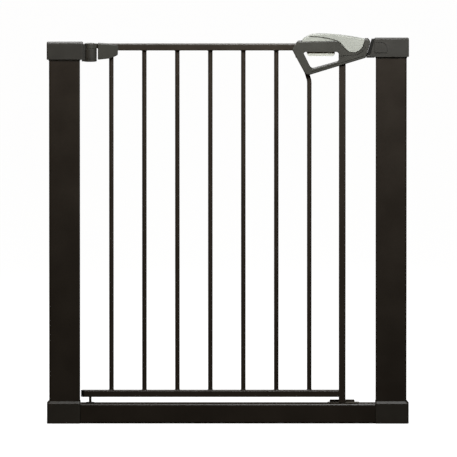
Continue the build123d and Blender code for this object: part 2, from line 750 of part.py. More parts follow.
lever_end = seat_end + 2.0
lever_top = [(43.6, 15.0), (10.0, 21.4), (-24.4, 25.5), (-58.0, 25.5), (-65.6, 22.2)]


def lever_side(margin=0.0):
    """The lever's whole side: hump and visor above, round end at the pivot, hidden skirt below."""
    seat = seat_arc(pivot_reach - seat_gap - margin, 212.0, lever_end)
    over = [(x - margin if x > 0 else x + margin / 2, z - margin) for x, z in lever_top]
    front = [(-79.0 + margin, 12.2), (-79.0 + margin, 6.6), (-10.0, 6.6)]
    around = Polyline(*at_handle([seat[2], *over, *front, seat[0]]))
    return make_face(Curve() + [ThreePointArc(*at_handle(seat)), around])


def visor_side():
    """The lever's outer skin: the visor over the hump, and the flank that fills the window."""
    crease_end = (handle_outline[1][0], handle_outline[1][1] + rise_gap)
    crease = ThreePointArc(*at_handle([lever_top[-1], (-38.0, 20.4), crease_end]))
    edges, last = window_edge(seat_gap, crease_end, lever_end)
    return make_face(Curve() + [crease, *edges, Polyline(*at_handle([last, *lever_top]))])


def thumb_lever():
    """The grey lever under the palm: a hollow moulding that rocks on a pin through its round end."""
    body = slab(visor_side(), -lever_outer, lever_outer)
    body = chamfer(body.edges().group_by(Axis.Y)[0] + body.edges().group_by(Axis.Y)[-1], edge_break)
    body += slab(lever_side(), -lever_inner, lever_inner)
    room = slab(lever_side(lever_wall), -lever_inner + lever_wall, lever_inner - lever_wall)
    room += slab(lever_throat(), -lever_inner + lever_wall, lever_inner - lever_wall)
    body -= room
    for side in (-1, 1):
        low, high = sorted((side * (rib_far + slide_gap), side * lever_inner))
        body += rod_y(stile_x + pivot_x, rail_z + pivot_z, low, high, rib_round)
    return body - rod_y(stile_x + pivot_x, rail_z + pivot_z, -20, 20, pivot_pin_radius + running)


def lever_throat():
    """The lever is open below, so that the trigger, bolt and pivot posts stand up inside it."""
    points = [(-76.0, 12.0), (-76.0, 0.0), (3.0, 0.0), (3.0, -14.0), (40.0, -14.0), (40.0, 12.0)]
    return make_face(Polyline(*at_handle(points), close=True))


def lever_pivot_pin():
    return rod_y(stile_x + pivot_x, rail_z + pivot_z, -lever_inner + 0.2, lever_inner - 0.2, pivot_pin_radius)


pin_rest_x = 6.9


def finger_trigger():
    """The grey tab that the fingers pull up, with the slotted blade that draws the bolt back."""
    tab_corners = at_handle([(-69.2, -5.4), (-69.2, -16.9), (-14.6, -16.9), (-14.6, -5.4)])
    tab = outline(tab_corners, [0.5, 5.5, 5.5, 0.5])
    body = slab(tab, -tab_half_depth, tab_half_depth)
    body = fillet(body.edges().group_by(Axis.Y)[0] + body.edges().group_by(Axis.Y)[-1], small_round)
    flange_corners = at_handle([(-72.0, -7.2), (-72.0, -5.0), (-12.6, -5.0), (-12.6, -7.2)])
    flange = make_face(Polyline(*flange_corners, close=True))
    body += slab(flange, -flange_half_depth, flange_half_depth)
    blade = [
        (-16.0, -7.2), (-16.0, -3.0), (2.0, -3.0), (10.2, -11.2), (10.2, -16.5), (3.5, -23.1),
        (-4.3, -23.1), (-4.3, -7.2),
    ]
    body += slab(make_face(Polyline(*at_handle(blade), close=True)), -blade_half, blade_half)
    slot_ends = at_handle([
        (pin_rest_x, bolt_level), (pin_rest_x - bolt_travel, bolt_level - trigger_travel),
    ])
    (x1, z1), (x0, z0) = slot_ends
    run = sqrt((x1 - x0) ** 2 + (z1 - z0) ** 2)
    slot = SlotCenterToCenter(run, 2 * (cam_pin_radius + 0.15))
    turned = Pos((x0 + x1) / 2, (z0 + z1) / 2) * Rot(0, 0, degrees(atan2(z1 - z0, x1 - x0))) * slot
    body -= slab(turned, -blade_half - 1, blade_half + 1)
    return body - rod_z(stile_x - 42, 0, rail_z - 13.0, rail_z, spring_radius + 0.6)


def latch_bolt():
    """The black sliding bolt: a fork round the trigger's blade, a bar, and a bevelled nose."""
    low = rail_z + bolt_level - bolt_height / 2
    high = rail_z + bolt_level + bolt_height / 2
    nose = stile_x + end_slope_x(bolt_level) + bolt_travel
    body = block(stile_x + 3.9, nose, -bolt_half_depth, bolt_half_depth, low, high)
    body = chamfer(body.edges().filter_by(Axis.Z).group_by(Axis.X)[-1], 3.0)
    body -= block(stile_x, stile_x + 19.0, -blade_half - slide_gap, blade_half + slide_gap, low - 1, high + 1)
    return body - rod_y(stile_x + pin_rest_x, rail_z + bolt_level, -20, 20, cam_pin_radius)


def cam_pin():
    return rod_y(stile_x + pin_rest_x, rail_z + bolt_level, -bolt_half_depth, bolt_half_depth, cam_pin_radius)


spring_radius = 2.6
spring_wire = 0.45


def coil_spring(x, z0, z1, radius, turns):
    """A compression spring, wound as a helix between two heights."""
    height = z1 - z0 - 2 * spring_wire
    path = Helix(pitch=height / turns, height=height, radius=radius)
    section = Plane(origin=path @ 0, z_dir=path % 0) * Circle(spring_wire)
    return Pos(x, 0, z0 + spring_wire) * sweep(section, path=path, is_frenet=True)


def trigger_spring():
    return coil_spring(stile_x - 42, rail_z - 12.9, rail_z + 1.5, spring_radius, 7)


def lever_spring():
    return coil_spring(stile_x - 42, rail_z + 3.5, rail_z + 21.2, spring_radius + 0.6, 7)


# ---- every node ----
def frame_nodes():
    hinge_side, latch_side = -1, 1
    guides = [spindle_guide(s, z) for s in (hinge_side, latch_side) for z in (spindle_low, spindle_high)]
    return {
        "left_post": post(hinge_side, left_post_top),
        "right_post": post(latch_side, right_post_top),
        "base_rail": base_rail(),
        "left_foot": foot(hinge_side),
        "right_foot": foot(latch_side),
        "hinge_cap": hinge_cap(),
        "latch_cap": latch_cap(),
        "keeper": keeper(),
        "strike_strip": strike_strip(),
        "lower_hinge_bush": lower_hinge_bush(),
        "base_catch": base_catch(),
        "catch_cup": catch_cup(),
        "catch_screws": group(placed(screw(), *spot) for spot in catch_screw_spots),
        "spindle_guides": group(guides),
        "frame_screws": group(placed(screw(), *spot) for spot in frame_screw_spots),
    }


def panel_nodes():
    bracket = hinge_bracket_whole()
    handle = handle_body()
    bar_places = [first_bar_x + n * bar_pitch for n in range(bay_count - 1)]
    return {
        "hinge_sleeve": hinge_sleeve(),
        "top_rail": rail(top_rail_start, top_rail_end, rail_z),
        "bottom_rail": bottom_rail(),
        "bars": group(straight_bar(x) for x in bar_places),
        "bent_bar": bent_bar(),
        "latch_stile": latch_stile(),
        "stile_foot": stile_foot(),
        "rail_end_plug": rail_end_plug(),
        "lower_hinge_pin": lower_pin(),
        "upper_hinge_pin": upper_hinge_pin(),
        "hinge_bracket_front": half_of(bracket, -1),
        "hinge_bracket_rear": half_of(bracket, 1),
        "bracket_screws": group(placed(screw(), *spot) for spot in bracket_screw_spots),
        "handle_front_shell": half_of(handle, -1),
        "handle_rear_shell": half_of(handle, 1),
        "handle_screws": group(placed(screw(), *spot) for spot in handle_screw_spots),
        "thumb_lever": thumb_lever(),
        "lever_pivot_pin": lever_pivot_pin(),
        "finger_trigger": finger_trigger(),
        "latch_bolt": latch_bolt(),
        "cam_pin": cam_pin(),
        "trigger_spring": trigger_spring(),
        "lever_spring": lever_spring(),
    }


os.makedirs("parts", exist_ok=True)
for name, shape in {**frame_nodes(), **panel_nodes()}.items():
    export_step(shape, f"parts/{name}.step")
print("hinge axis x", round(hinge_x, 3), "stile x", round(stile_x, 3), "top rail z", round(rail_z, 3))
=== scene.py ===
"""Safety gate: the looks of a steel stair gate with a squeeze handle, built round its CAD frame."""
import math

import bmesh
import bpy
from bpy.props import FloatProperty, FloatVectorProperty, IntProperty, PointerProperty
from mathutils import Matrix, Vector


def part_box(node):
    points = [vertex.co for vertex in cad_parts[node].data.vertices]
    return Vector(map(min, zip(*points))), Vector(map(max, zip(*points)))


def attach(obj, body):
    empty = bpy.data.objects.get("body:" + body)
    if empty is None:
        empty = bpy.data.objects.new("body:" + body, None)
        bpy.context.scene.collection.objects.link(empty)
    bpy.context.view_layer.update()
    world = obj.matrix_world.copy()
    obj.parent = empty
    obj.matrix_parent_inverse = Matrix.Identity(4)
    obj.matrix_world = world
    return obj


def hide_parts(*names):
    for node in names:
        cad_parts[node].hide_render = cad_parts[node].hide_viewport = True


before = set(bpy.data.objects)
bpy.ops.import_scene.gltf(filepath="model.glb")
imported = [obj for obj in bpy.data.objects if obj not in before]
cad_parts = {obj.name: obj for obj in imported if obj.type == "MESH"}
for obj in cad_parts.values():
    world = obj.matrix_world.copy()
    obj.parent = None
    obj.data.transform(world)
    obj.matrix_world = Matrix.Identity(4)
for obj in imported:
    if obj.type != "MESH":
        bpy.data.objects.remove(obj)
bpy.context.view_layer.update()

bl_info = {
    "name": "Safety gate",
    "version": (1, 0, 0),
    "blender": (4, 5, 0),
    "location": "View3D > Sidebar > Gate",
    "description": "Builds a stair gate's handle, hinge, welds, finishes and studio",
    "category": "Object",
}

MM = 0.001


def hex_colour(text):
    """An sRGB hex value, as linear red, green and blue."""
    parts = [int(text[i:i + 2], 16) / 255 for i in (1, 3, 5)]
    return tuple(p / 12.92 if p <= 0.04045 else ((p + 0.055) / 1.055) ** 2.4 for p in parts)


def middle(node):
    low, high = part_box(node)
    return (low + high) / 2


# ---- where the frame puts things ----
stile = middle("latch_stile")
top_rail = middle("top_rail")
bottom_rail = middle("bottom_rail")
hinge = middle("hinge_sleeve")


def at_handle(points):
    """Points given in millimetres from where the stile meets the top rail's line, in metres in the frame."""
    return [(stile.x + x * MM, top_rail.z + z * MM) for x, z in points]


# ---- sizes and colours ----
class HandleSizes(bpy.types.PropertyGroup):
    depth: FloatProperty(
        name="Depth", description="Handle's thickness from front to back", default=0.030, unit="LENGTH")
    rim: FloatProperty(
        name="Rim", description="Rounding round the grip and the finger hole", default=0.0020, unit="LENGTH")
    wall: FloatProperty(
        name="Wall", description="Thickness of the moulded shells", default=0.0024, unit="LENGTH")
    parting: FloatProperty(
        name="Parting line", description="Groove where the two shells meet", default=0.0003, unit="LENGTH")
    crease: FloatProperty(
        name="Crease", description="Depth of the lines moulded round the lever's seat", default=0.0010,
        unit="LENGTH")
    lever_width: FloatProperty(
        name="Lever width", description="Width across the lever's visor", default=0.0292, unit="LENGTH")
    lever_round: FloatProperty(
        name="Lever rounding", description="Soft edges of the grey lever", default=0.0036, unit="LENGTH")


class WeldSizes(bpy.types.PropertyGroup):
    bead: FloatProperty(name="Bead", description="Radius of a weld bead", default=0.0013, unit="LENGTH")
    ripple: FloatProperty(name="Ripple", description="Unevenness of a bead", default=0.00012, unit="LENGTH")
    steps: IntProperty(name="Steps", description="Steps round a bead", default=28, min=12, max=64)


class ScrewSizes(bpy.types.PropertyGroup):
    head: FloatProperty(name="Head", description="Radius of a screw's head", default=0.0033, unit="LENGTH")
    shank: FloatProperty(name="Shank", description="Radius of its shank", default=0.00175, unit="LENGTH")
    cone: FloatProperty(
        name="Cone", description="Height of its countersunk head", default=0.002, unit="LENGTH")
    recess: FloatProperty(
        name="Recess", description="Half the width of the cross recess", default=0.0019, unit="LENGTH")
    recess_wall: FloatProperty(
        name="Recess arm", description="Half the thickness of its arms", default=0.0004, unit="LENGTH")
    recess_depth: FloatProperty(
        name="Recess depth", description="How deep it goes", default=0.0014, unit="LENGTH")


class GateColours(bpy.types.PropertyGroup):
    coat: FloatVectorProperty(
        name="Powder coat", description="Coat on the steel tubes", subtype="COLOR", size=3,
        default=hex_colour("#2e2822"))
    moulding: FloatVectorProperty(
        name="Black moulding", description="Handle and caps", subtype="COLOR", size=3,
        default=hex_colour("#403f3a"))
    lever: FloatVectorProperty(
        name="Lever grey", description="Lever and finger tab", subtype="COLOR", size=3,
        default=hex_colour("#abada5"))


class StageSizes(bpy.types.PropertyGroup):
    distance: FloatProperty(
        name="Camera distance", description="From the camera to the gate", default=40.0, unit="LENGTH")
    view_height: FloatProperty(
        name="View height", description="Height that the camera takes in at the gate", default=0.891,
        unit="LENGTH")
    tilt: FloatProperty(
        name="Tilt", description="How far the camera looks down", default=math.radians(5.7), unit="ROTATION")


# ---- modelling ----
def alone(obj):
    bpy.ops.object.select_all(action="DESELECT")
    obj.select_set(True)
    bpy.context.view_layer.objects.active = obj


def settle(obj, name):
    """Puts the place of a new piece in its mesh and leaves its object at the origin."""
    alone(obj)
    bpy.ops.object.transform_apply(location=True, rotation=True, scale=True)
    obj.name = name
    obj.data.name = name
    return obj


def arc(centre, radius, start, end, steps):
    """Points along an arc, with its angles in degrees."""
    angles = [math.radians(start + (end - start) * i / steps) for i in range(steps + 1)]
    return [(centre[0] + radius * math.cos(a), centre[1] + radius * math.sin(a)) for a in angles]


def bow(start, pull_a, pull_b, end, steps):
    """Points along a curve that leaves its start towards one point and reaches its end from another."""
    made = []
    for i in range(steps + 1):
        t = i / steps
        u = 1 - t
        weights = (u ** 3, 3 * u * u * t, 3 * u * t * t, t ** 3)
        made.append(tuple(
            sum(w * p[k] for w, p in zip(weights, (start, pull_a, pull_b, end))) for k in (0, 1)))
    return made


def rounded(points, radii, steps=7):
    """An outline with each corner turned into an arc of its own radius."""
    made = []
    count = len(points)
    for i, radius in enumerate(radii):
        here = Vector(points[i])
        before = (Vector(points[i - 1]) - here).normalized()
        after = (Vector(points[(i + 1) % count]) - here).normalized()
        if radius == 0:
            made.append(tuple(here))
            continue
        half = before.angle(after) / 2
        centre = here + (before + after).normalized() * (radius / math.sin(half))
        first = here + before * (radius / math.tan(half)) - centre
        last = here + after * (radius / math.tan(half)) - centre
        turn = first.angle_signed(last)
        start = math.atan2(first.y, first.x)
        made += [
            (centre.x + radius * math.cos(start - turn * k / steps),
             centre.y + radius * math.sin(start - turn * k / steps))
            for k in range(steps + 1)
        ]
    return made


def drawn(name, points, y0, y1):
    """Draws a closed outline corner by corner, fills it, and pulls it out from one depth to another."""
    x, z = points[0]
    bpy.ops.object.select_all(action="DESELECT")
    bpy.ops.mesh.primitive_plane_add(size=MM, location=(x, y0, z))
    obj = bpy.context.object
    bpy.ops.object.mode_set(mode="EDIT")
    bpy.ops.mesh.merge(type="CENTER")
    for (xa, za), (xb, zb) in zip(points, points[1:]):
        bpy.ops.mesh.extrude_region_move(TRANSFORM_OT_translate={"value": (xb - xa, 0, zb - za)})
    bpy.ops.mesh.select_all(action="SELECT")
    bpy.ops.mesh.edge_face_add()
    bpy.ops.mesh.extrude_region_move(TRANSFORM_OT_translate={"value": (0, y1 - y0, 0)})
    bpy.ops.mesh.select_all(action="SELECT")
    bpy.ops.mesh.normals_make_consistent(inside=False)
    bpy.ops.object.mode_set(mode="OBJECT")
    if len(obj.data.polygons) != len(points) + 2:
        raise RuntimeError(f"{name}: its outline didn't fill")
    return settle(obj, name)


def box_between(name, low, high):
    bpy.ops.object.select_all(action="DESELECT")
    size = [b - a for a, b in zip(low, high)]
    centre = [(a + b) / 2 for a, b in zip(low, high)]
    bpy.ops.mesh.primitive_cube_add(size=1, location=centre, scale=size)
    return settle(bpy.context.object, name)


def apply(obj, kind, **settings):
    """Adds a modifier with its settings and applies it."""
    alone(obj)
    modifier = obj.modifiers.new(kind.lower(), kind)
    for key, value in settings.items():
        setattr(modifier, key, value)
    bpy.ops.object.modifier_apply(modifier=modifier.name)
    return obj


def combine(obj, others, operation):
    """Cuts other shapes out of a piece, or joins them to it, and throws them away."""
    for other in others:
        apply(obj, "BOOLEAN", operation=operation, object=other, solver="EXACT")
        bpy.data.objects.remove(other)
    return obj


def soften(obj, width, segments=3, angle=35, clamp=True):
    return apply(
        obj, "BEVEL", width=width, segments=segments, limit_method="ANGLE",
        angle_limit=math.radians(angle), harden_normals=False, use_clamp_overlap=clamp)


def shade(obj, angle=40):
    alone(obj)
    bpy.ops.object.shade_smooth_by_angle(angle=math.radians(angle))
    return apply(obj, "WEIGHTED_NORMAL", keep_sharp=True, weight=80)


def dress(obj, body, slot, material, *stands_for):
    """Gives a finished piece its body and its material, and hides the nodes it stands for; the slot argument
    is not used.
    """
    obj.data.materials.clear()
    obj.data.materials.append(material)
    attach(obj, body)
    if stands_for:
        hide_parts(*stands_for)
    return obj


# ---- materials ----
def add(tree, kind, settings=None, links=None):
    """Adds a node, sets its values or sockets, and links its inputs to other nodes' outputs."""
    made = tree.nodes.new(kind)
    for key, value in (settings or {}).items():
        if key in made.inputs:
            made.inputs[key].default_value = value
        else:
            setattr(made, key, value)
    for key, (source, output) in (links or {}).items():
        tree.links.new(source.outputs[output], made.inputs[key])
    return made


def finish_named(name, **shader):
    """A new material with a shader that has these values, and object coordinates to draw on."""
    made = bpy.data.materials.new(name)
    made.use_nodes = True
    tree = made.node_tree
    tree.nodes.clear()
    surface = add(tree, "ShaderNodeBsdfPrincipled", shader)
    add(tree, "ShaderNodeOutputMaterial", links={"Surface": (surface, "BSDF")})
    coords = add(tree, "ShaderNodeTexCoord")
    return made, tree, surface, coords


def per_metre(size_mm):
    """A texture scale that repeats about once in this many millimetres."""
    return 1000 / size_mm


def tint(colour, factor):
    return (*(min(1, c * factor) for c in colour), 1)


def powder_coat(name, colour):
    """Powder-coated steel tube: satin, with a fine orange peel and slightly uneven gloss."""
    made, tree, surface, coords = finish_named(name, Roughness=0.36, IOR=1.5)
    cloud = add(
        tree, "ShaderNodeTexNoise", {"Scale": per_metre(60), "Detail": 3.0}, {"Vector": (coords, "Object")})
    shades = add(tree, "ShaderNodeValToRGB", links={"Fac": (cloud, "Fac")})
    shades.color_ramp.elements[0].position = 0.35
    shades.color_ramp.elements[0].color = tint(colour, 0.88)
    shades.color_ramp.elements[1].position = 0.68
    shades.color_ramp.elements[1].color = tint(colour, 1.12)
    tree.links.new(shades.outputs["Color"], surface.inputs["Base Color"])
    gloss = add(tree, "ShaderNodeMapRange", {"To Min": 0.31, "To Max": 0.42}, {"Value": (cloud, "Fac")})
    tree.links.new(gloss.outputs["Result"], surface.inputs["Roughness"])
    # Orange peel is near 1 mm across; drawn at 1.6 mm so that it shows.
    peel = add(
        tree, "ShaderNodeTexNoise", {"Scale": per_metre(1.6), "Detail": 2.0}, {"Vector": (coords, "Object")})
    bump = add(tree, "ShaderNodeBump", {"Strength": 0.1, "Distance": 0.0001}, {"Height": (peel, "Fac")})
    tree.links.new(bump.outputs["Normal"], surface.inputs["Normal"])
    return made


def spark_grain(name, colour, roughness=0.46, grain=0.9, strength=0.3):
    """Injection-moulded plastic from a spark-eroded mould: a fine even grain that breaks up the gloss."""
    made, tree, surface, coords = finish_named(name, Roughness=roughness, IOR=1.49)
    cells = add(
        tree, "ShaderNodeTexVoronoi", {"Scale": per_metre(grain), "feature": "SMOOTH_F1"},
        {"Vector": (coords, "Object")})
    cloud = add(
        tree, "ShaderNodeTexNoise", {"Scale": per_metre(25), "Detail": 4.0}, {"Vector": (coords, "Object")})
    shades = add(tree, "ShaderNodeValToRGB", links={"Fac": (cloud, "Fac")})
    shades.color_ramp.elements[0].position = 0.3
    shades.color_ramp.elements[0].color = tint(colour, 0.93)
    shades.color_ramp.elements[1].position = 0.7
    shades.color_ramp.elements[1].color = tint(colour, 1.07)
    tree.links.new(shades.outputs["Color"], surface.inputs["Base Color"])
    gloss = add(
        tree, "ShaderNodeMapRange", {"To Min": roughness - 0.05, "To Max": roughness + 0.07},
        {"Value": (cloud, "Fac")})
    tree.links.new(gloss.outputs["Result"], surface.inputs["Roughness"])
    bump = add(
        tree, "ShaderNodeBump", {"Strength": strength, "Distance": 0.00012}, {"Height": (cells, "Distance")})
    tree.links.new(bump.outputs["Normal"], surface.inputs["Normal"])
    return made


def zinc_plate(name, colour, grain=0.8):
    """Zinc-plated steel: pale grey metal with faint cloudy spangle and a brushed-down gloss."""
    made, tree, surface, coords = finish_named(name, Metallic=1.0, Roughness=0.34)
    cells = add(tree, "ShaderNodeTexVoronoi", {"Scale": per_metre(grain)}, {"Vector": (coords, "Object")})
    shades = add(tree, "ShaderNodeValToRGB", links={"Fac": (cells, "Color")})
    shades.color_ramp.elements[0].color = tint(colour, 0.82)
    shades.color_ramp.elements[1].color = tint(colour, 1.1)
    tree.links.new(shades.outputs["Color"], surface.inputs["Base Color"])
    gloss = add(tree, "ShaderNodeMapRange", {"To Min": 0.26, "To Max": 0.42}, {"Value": (cells, "Distance")})
    tree.links.new(gloss.outputs["Result"], surface.inputs["Roughness"])
    return made


def coated_plate(name, colour):
    """Pressed steel plate with a thin bronze-brown coat, rubbed a little brighter by the foot pin."""
    made, tree, surface, coords = finish_named(name, Metallic=0.55, Roughness=0.36)
    rubs = add(
        tree, "ShaderNodeTexNoise", {"Scale": per_metre(9), "Detail": 5.0, "Roughness": 0.65},
        {"Vector": (coords, "Object")})
    shades = add(tree, "ShaderNodeValToRGB", links={"Fac": (rubs, "Fac")})
    shades.color_ramp.elements[0].position = 0.42
    shades.color_ramp.elements[0].color = tint(colour, 0.8)
    shades.color_ramp.elements[1].position = 0.75
    shades.color_ramp.elements[1].color = tint(colour, 1.6)
    tree.links.new(shades.outputs["Color"], surface.inputs["Base Color"])
    bump = add(tree, "ShaderNodeBump", {"Strength": 0.2, "Distance": 0.0002}, {"Height": (rubs, "Fac")})
    tree.links.new(bump.outputs["Normal"], surface.inputs["Normal"])
    return made


def palette():
    """The gate's finishes, made once and then looked up by name."""
    colours = bpy.context.scene.gate_colours
    if "coated_tube_steel" not in bpy.data.materials:
        powder_coat("coated_tube_steel", colours.coat)
        powder_coat("coated_rail_steel", tint(colours.coat, 1.25)[:3])
        spark_grain("handle_abs_black", colours.moulding, roughness=0.44)
        spark_grain("cap_abs_black", hex_colour("#363430"), roughness=0.5)
        # The feet are the same black plastic as the caps; this darker, warmer copy of its colour is painted
        # shade, for the dim warm light that the feet get near the floor.
        spark_grain("foot_black_painted_shade", hex_colour("#322e28"), roughness=0.5)
        # The finger tab is the same grey plastic as the lever; this lighter copy of its colour is painted
        # light, standing in for the light that the grip's overhang shades off the tab.
        spark_grain("tab_grey_painted_light", hex_colour("#c9cac0"), roughness=0.4, strength=0.12)
        spark_grain("lever_abs_grey", colours.lever, roughness=0.4, strength=0.12)
        spark_grain("bush_nylon_black", hex_colour("#1d1c1a"), roughness=0.36, strength=0.1)
        coated_plate("catch_plate_bronze", hex_colour("#5b554c"))
        zinc_plate("screw_zinc", hex_colour("#b9bab8"))
        zinc_plate("spring_wire_steel", hex_colour("#a4a5a6"), grain=0.4)
    return bpy.data.materials


NODE_FINISH = {
    "coated_tube_steel": ["left_post", "right_post", "base_rail"],
    "coated_rail_steel": ["top_rail", "bottom_rail", "bars", "bent_bar", "latch_stile"],
    "cap_abs_black": ["hinge_cap", "latch_cap"],
    # painted shade: the feet's black is drawn darker and warmer than the caps'
    "foot_black_painted_shade": ["left_foot", "right_foot"],
    "handle_abs_black": ["hinge_bracket_front", "hinge_bracket_rear", "latch_bolt",
                         "handle_front_shell", "handle_rear_shell"],
    "lever_abs_grey": ["thumb_lever"],
    # painted light: the tab's grey is drawn lighter than the lever's grey
    "tab_grey_painted_light": ["finger_trigger"],
    "bush_nylon_black": ["keeper", "strike_strip", "lower_hinge_bush", "catch_cup", "spindle_guides",
                         "hinge_sleeve", "stile_foot", "rail_end_plug"],
    "catch_plate_bronze": ["base_catch"],
    "screw_zinc": ["catch_screws", "frame_screws", "bracket_screws", "handle_screws", "lower_hinge_pin",
                   "upper_hinge_pin", "lever_pivot_pin", "cam_pin"],
    "spring_wire_steel": ["trigger_spring", "lever_spring"],
}


class GATE_OT_finishes(bpy.types.Operator):
    """Gives every piece of the frame its own finish"""
    bl_idname = "gate.finishes"
    bl_label = "Frame finishes"

    def execute(self, context):
        finishes = palette()
        for finish, nodes in NODE_FINISH.items():
            for node in nodes:
                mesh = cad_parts[node].data
                mesh.materials.clear()
                mesh.materials.append(finishes[finish])
        missing = set(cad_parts) - {n for nodes in NODE_FINISH.values() for n in nodes}
        if missing:
            raise RuntimeError(f"no finish for {sorted(missing)}")
        return {"FINISHED"}


# ---- handle ----
GRIP = [
    (-85.8, 11.5), (-14.6, 13.3), (44.4, 16.2), (50.2, 16.2), (54.6, 10.4), (46.0, -19.3),
    (43.0, -21.0), (-70.4, -55.6), (-97.3, -5.5), (-97.3, -1.5),
]
GRIP_ROUNDS = [3.0, 0, 0, 3.0, 3.0, 0, 0, 10.0, 3.0, 0]
HOLE = [(-77.8, -8.6), (-7.2, -8.6), (-7.2, -28.4), (-60.7, -43.4)]
HOLE_ROUNDS = [4.0, 4.5, 3.0, 7.0]
PIVOT = (21.5, 10.4)
SEAT_REACH = 20.6
RIM_OUT = 4.2
CREASE_WIDTH = 1.4
BROW = (-14.6, 13.3)           # where the window's curve leaves the grip
WINDOW_RIGHT = 44.4
WINDOW_TOP = 40.0              # well above the grip, so that the window is open
SLOT_HALF_DEPTH = 0.0113       # the finger tab's slot, in metres
CHANNEL_HALF_DEPTH = 0.0055    # the bolt's channel, in metres


def ribbon(path, width):
    """A narrow closed outline to one side of a path of points."""
    made = []
    for i, here in enumerate(path):
        before, after = path[max(i - 1, 0)], path[min(i + 1, len(path) - 1)]
        along = (Vector(after) - Vector(before)).normalized()
        made.append((here[0] - along.y * width, here[1] + along.x * width))
    return path + made[::-1]


def window_outline():
    """The opening for the lever: an S-curve down from the grip, a round seat, and up past the rim."""
    seat = arc(PIVOT, SEAT_REACH, 218, 352, 22)
    rise = bow(BROW, (-5.5, 12.2), (-1.5, 5.2), seat[0], 12)
    return rise + seat[1:] + [(WINDOW_RIGHT, 16.2), (WINDOW_RIGHT, WINDOW_TOP), (BROW[0], WINDOW_TOP)]


class GATE_OT_handle(bpy.types.Operator):
    """Models the two handle shells: a soft-edged loop with a finger hole and the lever's seat"""
    bl_idname = "gate.handle"
    bl_label = "Handle shells"

    def execute(self, context):
        sizes = context.scene.gate_handle
        half = sizes.depth / 2
        whole = drawn("handle", rounded(at_handle(GRIP), [r * MM for r in GRIP_ROUNDS], 4), -half, half)
        soften(whole, sizes.rim, 4, 50, clamp=False)
        hole = drawn("hole", rounded(at_handle(HOLE), [r * MM for r in HOLE_ROUNDS], 4), -2 * half, 2 * half)
        combine(whole, [hole], "DIFFERENCE")
        combine(whole, [drawn("window", at_handle(window_outline()), -2 * half, 2 * half)], "DIFFERENCE")
        rim = arc(PIVOT, SEAT_REACH + RIM_OUT, 340, 268, 18)
        crease = rim + bow(rim[-1], (12.0, -14.4), (4.0, -16.4), (-8.2, -16.6), 8)[1:]
        lower = [(-62.0, -47.6), (-12.0, -32.2), (42.0, -16.0)]
        for y0, y1 in ((-2 * half, sizes.crease - half), (half - sizes.crease, 2 * half)):
            lines = [ribbon(crease, CREASE_WIDTH), ribbon(lower, -CREASE_WIDTH)]
            combine(whole, [drawn("line", at_handle(line), y0, y1) for line in lines], "DIFFERENCE")
        hollow = half - sizes.wall
        grip_room = [(-80.4, 20.0), (-80.4, -4.8), (-73.0, -7.5), (-4.8, -7.5), (-4.8, 20.0)]
        block_room = [(-4.9, 20.0), (-4.9, -31.0), (6.0, -30.2), (40.0, -18.9), (42.0, -18.9), (42.0, 20.0)]
        rooms = [
            drawn("room", at_handle(grip_room), -hollow, hollow),
            drawn("room", at_handle(block_room), -hollow, hollow),
        ]
        (x0, z0), (x1, z1) = at_handle([(-69.6, -12.0), (-14.2, -6.0)])
        rooms.append(box_between("room", (x0, -SLOT_HALF_DEPTH, z0), (x1, SLOT_HALF_DEPTH, z1)))
        (x0, z0), (x1, z1) = at_handle([(-4.8, -18.3), (60.0, -11.7)])
        rooms.append(box_between("room", (x0, -CHANNEL_HALF_DEPTH, z0), (x1, CHANNEL_HALF_DEPTH, z1)))
        low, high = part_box("top_rail")
        rooms.append(box_between("room", (at_handle([(-110, 0)])[0][0], low.y, low.z), tuple(high)))
        low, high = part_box("latch_stile")
        rooms.append(box_between("room", (low.x, low.y, low.z), tuple(high)))
        combine(whole, rooms, "DIFFERENCE")
        shells = []
        for name, side in (("handle_front", -1), ("handle_rear", 1)):
            shell = whole.copy()
            shell.data = whole.data.copy()
            context.collection.objects.link(shell)
            shell.name = name
            alone(shell)
            bpy.ops.object.mode_set(mode="EDIT")
            bpy.ops.mesh.select_all(action="SELECT")
            bpy.ops.mesh.bisect(
                plane_co=(0, side * sizes.parting / 2, 0), plane_no=(0, 1, 0), use_fill=True,
                clear_inner=side > 0, clear_outer=side < 0)
            bpy.ops.object.mode_set(mode="OBJECT")
            shells.append(shade(shell))
        bpy.data.objects.remove(whole)
        black = palette()["handle_abs_black"]
        dress(shells[0], "panel", "black_plastic", black, "handle_front_shell")
        dress(shells[1], "panel", "black_plastic", black, "handle_rear_shell")
        return {"FINISHED"}


def lever_skin():
    """The visor over the hump and the flank that fills the handle's window."""
    seat = arc(PIVOT, SEAT_REACH - 0.9, 218, 352, 22)
    crease_end = (-14.6, 15.1)
    crease = bow((-65.6, 22.2), (-50.0, 22.6), (-28.0, 19.4), crease_end, 12)
    rise = bow(crease_end, (-5.6, 13.9), (-0.8, 6.4), seat[0], 12)
    top = bow((43.6, 15.0), (20.0, 20.3), (-20.0, 25.5), (-40.0, 25.5), 14)
    brow = bow((-40.0, 25.5), (-50.0, 25.5), (-58.0, 25.5), (-65.6, 22.2), 8)
    return crease + rise[1:] + seat[1:] + top + brow[1:-1]


def lever_hump():
    """The palm hump under the visor, whose front runs down into the grip."""
    seat = arc(PIVOT, SEAT_REACH - 0.5, 212, 353, 22)
    front = bow((-64.0, 22.4), (-73.5, 19.4), (-79.0, 14.6), (-79.0, 8.6), 10)
    top = bow((42.9, 14.0), (20.0, 19.8), (-20.0, 24.6), (-44.0, 24.9), 12)
    return seat + top + front + [(-79.0, 6.6), (-10.0, 6.6)]


